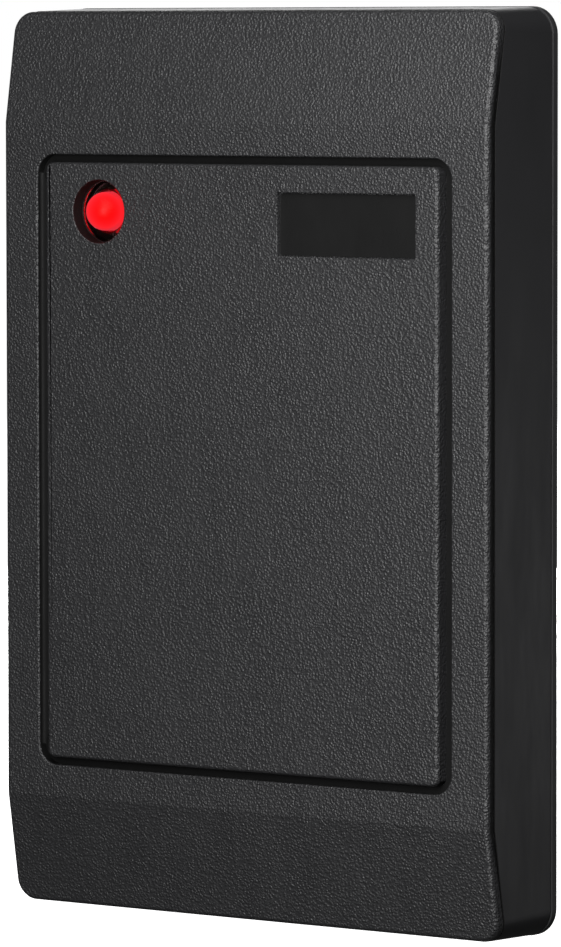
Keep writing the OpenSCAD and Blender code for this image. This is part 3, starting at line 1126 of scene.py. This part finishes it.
@dataclass
class Electronics(SubAssembly):
    """Circuit board with its parts, and the coil in front of it."""

    softened: dict[str, tuple[str, float]] = field(default_factory=lambda: {
        "circuit_board": ("board", 0.05 * MM),
        "coil_former": ("nylon", 0.06 * MM),
        "antenna_coil": ("coil_wire", 0.2 * MM),
        "cable_header": ("nylon", 0.08 * MM),
        "header_pins": ("gold_metal", 0.06 * MM),
        "controller_chip": ("chip_body", 0.12 * MM),
        "controller_pins": ("tinned_metal", 0.04 * MM),
        "amplifier_chip": ("chip_body", 0.1 * MM),
        "amplifier_pins": ("tinned_metal", 0.04 * MM),
        "crystal": ("tinned_metal", 0.15 * MM),
        "voltage_regulator": ("chip_body", 0.08 * MM),
        "power_capacitors": ("aluminium_can", 0.2 * MM),
        "chip_capacitors": ("ceramic_tan", 0.08 * MM),
        "chip_resistors": ("chip_body", 0.06 * MM),
        "buzzer": ("buzzer_plastic", 0.25 * MM),
        "protection_diodes": ("chip_body", 0.08 * MM),
        "driver_transistors": ("chip_body", 0.06 * MM),
    })

    def build(self) -> None:
        """Refines the board and each part on it."""
        for node, (finish, width) in self.softened.items():
            self.refine(node, node + "_detail", finish, width)
        self.shop.paint(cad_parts["tamper_spring"], "steel")


# ---------------------------------------------------------------- studio


@dataclass(frozen=True)
class Softbox:
    """A square soft light that faces the reader."""

    name: str
    place: Vector
    size: float
    brightness: float

    def hang(self, aim: Vector) -> None:
        """Hangs the light and turns it to a point.

        Args:
            aim: The point that it faces.
        """
        lamp = bpy.data.lights.new(self.name, "AREA")
        lamp.shape = "SQUARE"
        lamp.size = self.size
        lamp.energy = self.brightness * math.pi * self.size**2
        holder = bpy.data.objects.new(self.name, lamp)
        holder.location = self.place
        holder.rotation_euler = (aim - self.place).to_track_quat("-Z", "Y").to_euler()
        holder.visible_camera = False
        bpy.context.scene.collection.objects.link(holder)


@dataclass
class Studio:
    """Floor, surroundings, soft lights and the camera."""

    shop: PaintShop
    aim: Vector = field(default_factory=lambda: Vector((0.7, -7.0, -0.98)) * MM)
    yaw: float = math.radians(35.15)
    pitch: float = math.radians(3.885)
    roll: float = math.radians(-0.076)
    distance: float = 803.2 * MM
    lens: float = 242.9
    near_clip: float = 0.05
    floor_size: float = 6.0
    floor_gap: float = 4 * MM  # clears the screw, which backs out downwards
    surroundings: float = 0.03
    lights: tuple[Softbox, ...] = (
        Softbox("near_light", Vector((0.12, -0.10, 0.14)), 0.08, 7.0),
        Softbox("right_light", Vector((0.12, -0.30, 0.02)), 0.15, 13.0),
        Softbox("front_light", Vector((0.10, -0.20, 0.12)), 0.12, 9.0),
        Softbox("high_light", Vector((0.04, -0.12, 0.22)), 0.08, 7.0),
        Softbox("back_light", Vector((-0.62, 0.87, 0.24)), 0.5, 1.6),
        Softbox("rear_light", Vector((-0.30, 0.50, 0.0)), 0.1, 140.0),
        Softbox("side_card", Vector((0.33, 0.42, -0.13)), 0.2, 0.2),
        Softbox("side_strip", Vector((0.26, 0.30, -0.04)), 0.1, 0.25),
    )

    def build(self) -> None:
        """Sets up the whole studio."""
        self.lay_floor()
        self.light_surroundings()
        for light in self.lights:
            light.hang(self.aim)
        self.set_camera()

    def lay_floor(self) -> None:
        """Lays the floor under the reader."""
        bpy.ops.object.select_all(action="DESELECT")
        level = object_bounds()[0].z
        bpy.ops.mesh.primitive_plane_add(size=self.floor_size, location=(0, 0, level - self.floor_gap))
        floor = settle(bpy.context.object)
        floor.name = "floor"
        floor.visible_diffuse = False
        floor.visible_glossy = False
        self.shop.paint(floor, "floor")
        floor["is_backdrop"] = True

    def light_surroundings(self) -> None:
        """Makes the surroundings white to look at, and dimmer as a light."""
        world = bpy.data.worlds.new("surroundings")
        bpy.context.scene.world = world
        world.use_nodes = True
        tree = world.node_tree
        tree.nodes.clear()
        output = tree.nodes.new("ShaderNodeOutputWorld")
        mix = tree.nodes.new("ShaderNodeMixShader")
        path = tree.nodes.new("ShaderNodeLightPath")
        tree.links.new(path.outputs["Is Camera Ray"], mix.inputs["Fac"])
        for slot, strength in ((1, self.surroundings), (2, 1.0)):
            glow = tree.nodes.new("ShaderNodeBackground")
            glow.inputs["Color"].default_value = WHITE
            glow.inputs["Strength"].default_value = strength
            tree.links.new(glow.outputs["Background"], mix.inputs[slot])
        tree.links.new(mix.outputs["Shader"], output.inputs["Surface"])

    def set_camera(self) -> None:
        """Places the camera in front of the reader, to its right and a little above."""
        level = math.cos(self.pitch)
        back = Vector((math.sin(self.yaw) * level, -math.cos(self.yaw) * level, math.sin(self.pitch)))
        lens = bpy.data.cameras.new("camera")
        lens.lens = self.lens
        lens.clip_start = self.near_clip
        holder = bpy.data.objects.new("camera", lens)
        holder.location = self.aim + back * self.distance
        holder.rotation_mode = "QUATERNION"
        holder.rotation_quaternion = (-back).to_track_quat("-Z", "Y") @ Quaternion((0, 0, 1), self.roll)
        bpy.context.scene.collection.objects.link(holder)
        scene = bpy.context.scene
        scene.camera = holder
        scene.view_settings.view_transform = "Standard"


def main() -> None:
    """Builds the sub-assemblies in order, then the studio."""
    logging.basicConfig(level=logging.INFO, format="%(name)s: %(message)s")
    high = PACKED_BOX[1]
    shop = PaintShop()
    outside = Outside(high.x, high.z, -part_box("front_cover")[0].y)
    for part in (Shell(shop, outside), StatusLight(shop), Back(shop), Electronics(shop), Studio(shop)):
        part.build()
        log.info("%s is built", type(part).__name__)


if __name__ == "__main__":
    main()
